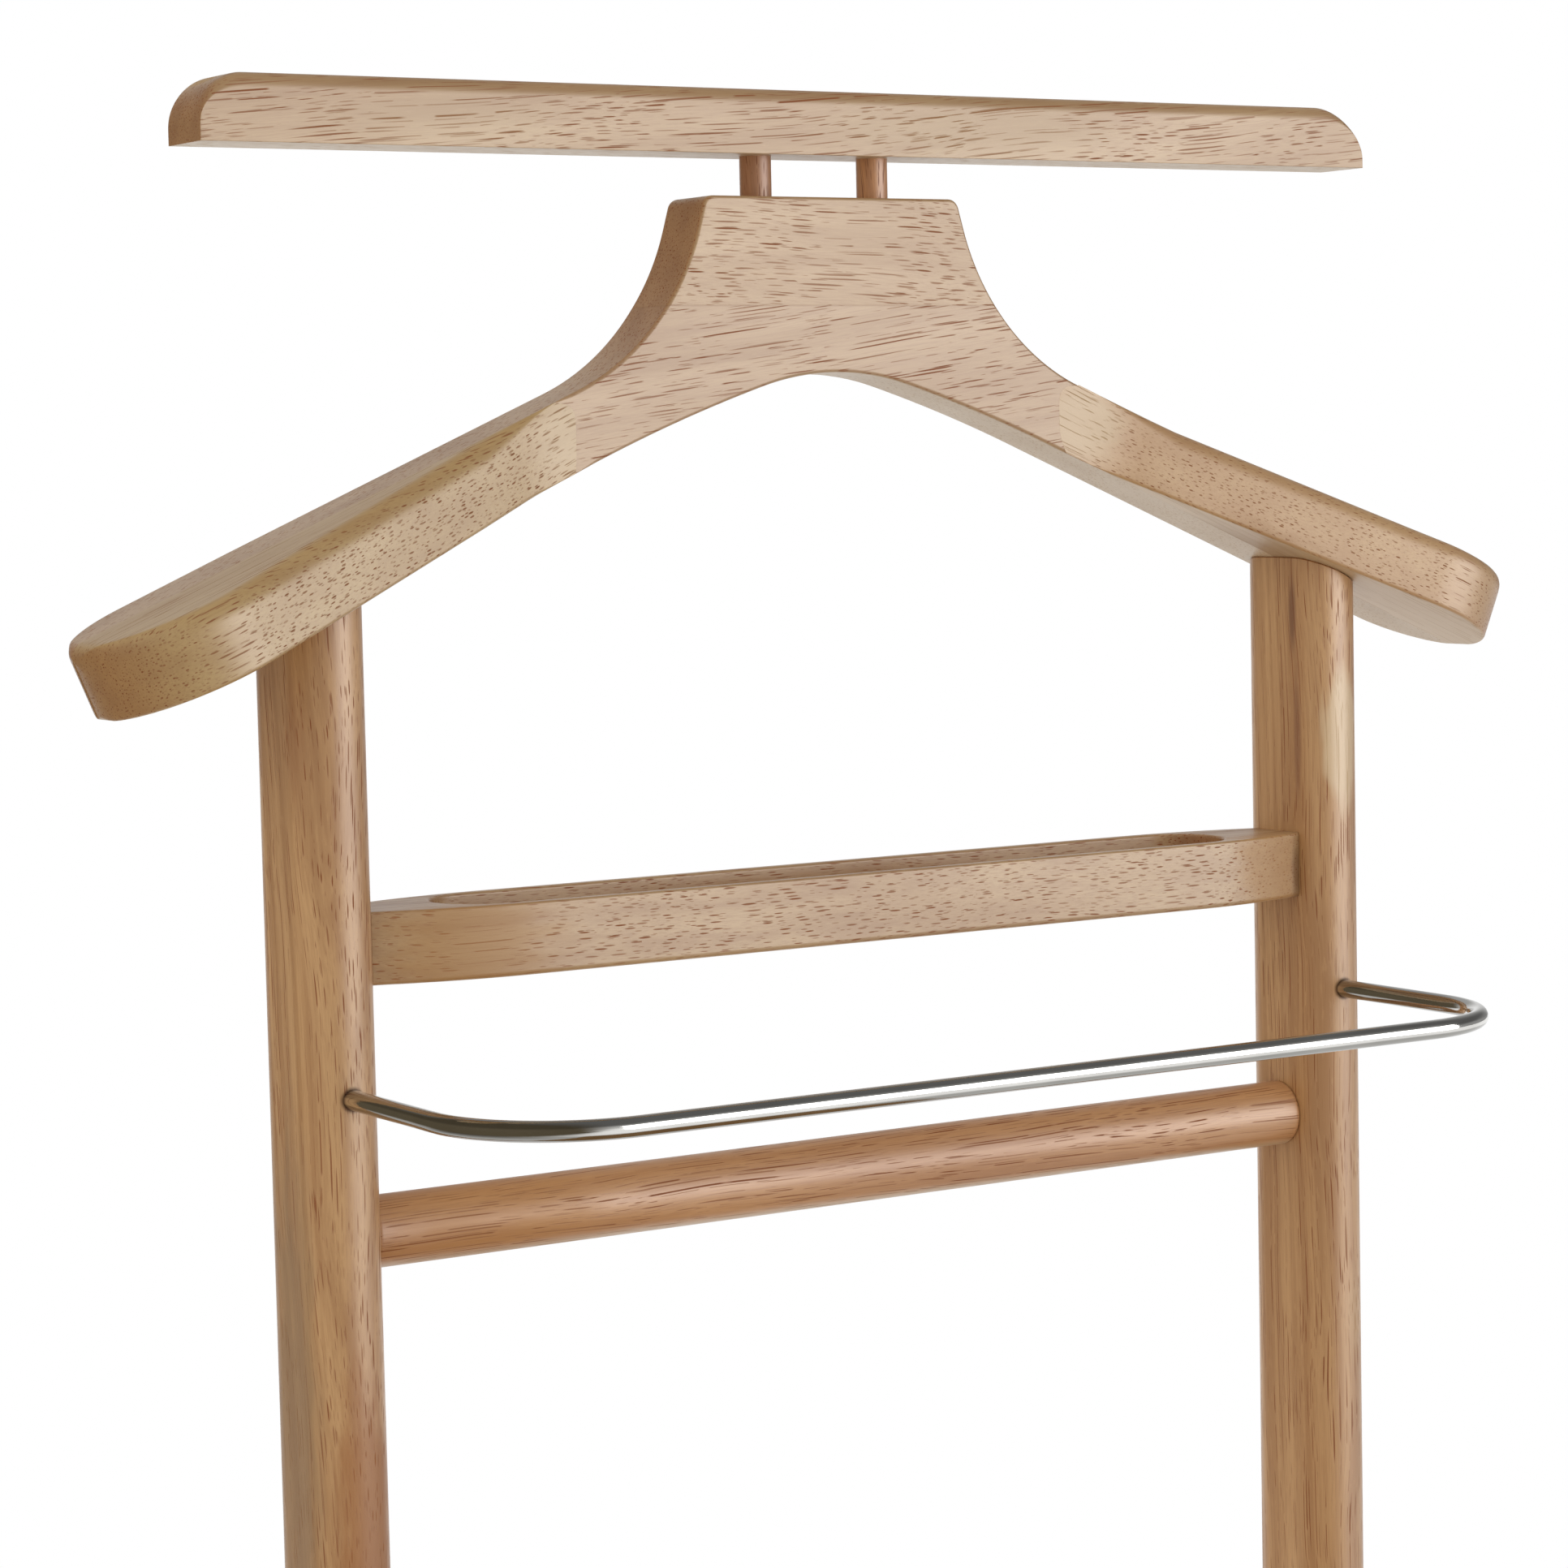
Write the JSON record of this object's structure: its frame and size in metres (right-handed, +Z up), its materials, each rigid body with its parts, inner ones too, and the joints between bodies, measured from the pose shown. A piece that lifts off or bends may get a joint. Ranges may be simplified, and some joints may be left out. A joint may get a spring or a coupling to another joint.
{
  "type": "clothes valet chair",
  "caption": "Wooden clothes valet chair with a contoured coat hanger, trouser bar, accessory tray, wire tie bar, back rail and shoe rack",
  "frame": {"origin": "on the floor, in the middle of the footprint", "axes": "+Z up, +X to the right as seen from the front, +Y to the back"},
  "size_m": [0.4714, 0.4327, 1.0789],
  "materials": {
    "lacquered_wood": "satin lacquer over pale rubberwood",
    "turned_wood": "satin lacquer over turned rubberwood, redder",
    "chromed_wire": "bright plated wire",
    "plated_screws": "zinc plated",
    "glide_plastic": "matt moulded"
  },
  "bodies": {
    "root": {"top_bar": "lacquered_wood", "yoke_top_board": "lacquered_wood", "hanger_core": "lacquered_wood", "shoulder_block_left": "lacquered_wood", "shoulder_block_right": "lacquered_wood", "post_left": "lacquered_wood", "post_right": "lacquered_wood", "accessory_tray": "lacquered_wood", "seat_panel": "lacquered_wood", "seat_apron_front": "lacquered_wood", "seat_apron_rear": "lacquered_wood", "seat_apron_left": "lacquered_wood", "seat_apron_right": "lacquered_wood", "front_leg_left": "lacquered_wood", "front_leg_right": "lacquered_wood", "side_stretcher_left": "lacquered_wood", "side_stretcher_right": "lacquered_wood", "corner_blocks": "lacquered_wood", "top_bar_dowels": "turned_wood", "hanger_dowels": "turned_wood", "tray_dowels": "turned_wood", "back_rail": "turned_wood", "shoe_rail_front": "turned_wood", "shoe_rail_middle": "turned_wood", "shoe_rail_rear": "turned_wood", "apron_dowels": "turned_wood", "stretcher_dowels": "turned_wood", "tie_bar": "chromed_wire", "block_screws": "plated_screws", "seat_screws": "plated_screws", "foot_glides": "glide_plastic"}
  },
  "joints": []
}
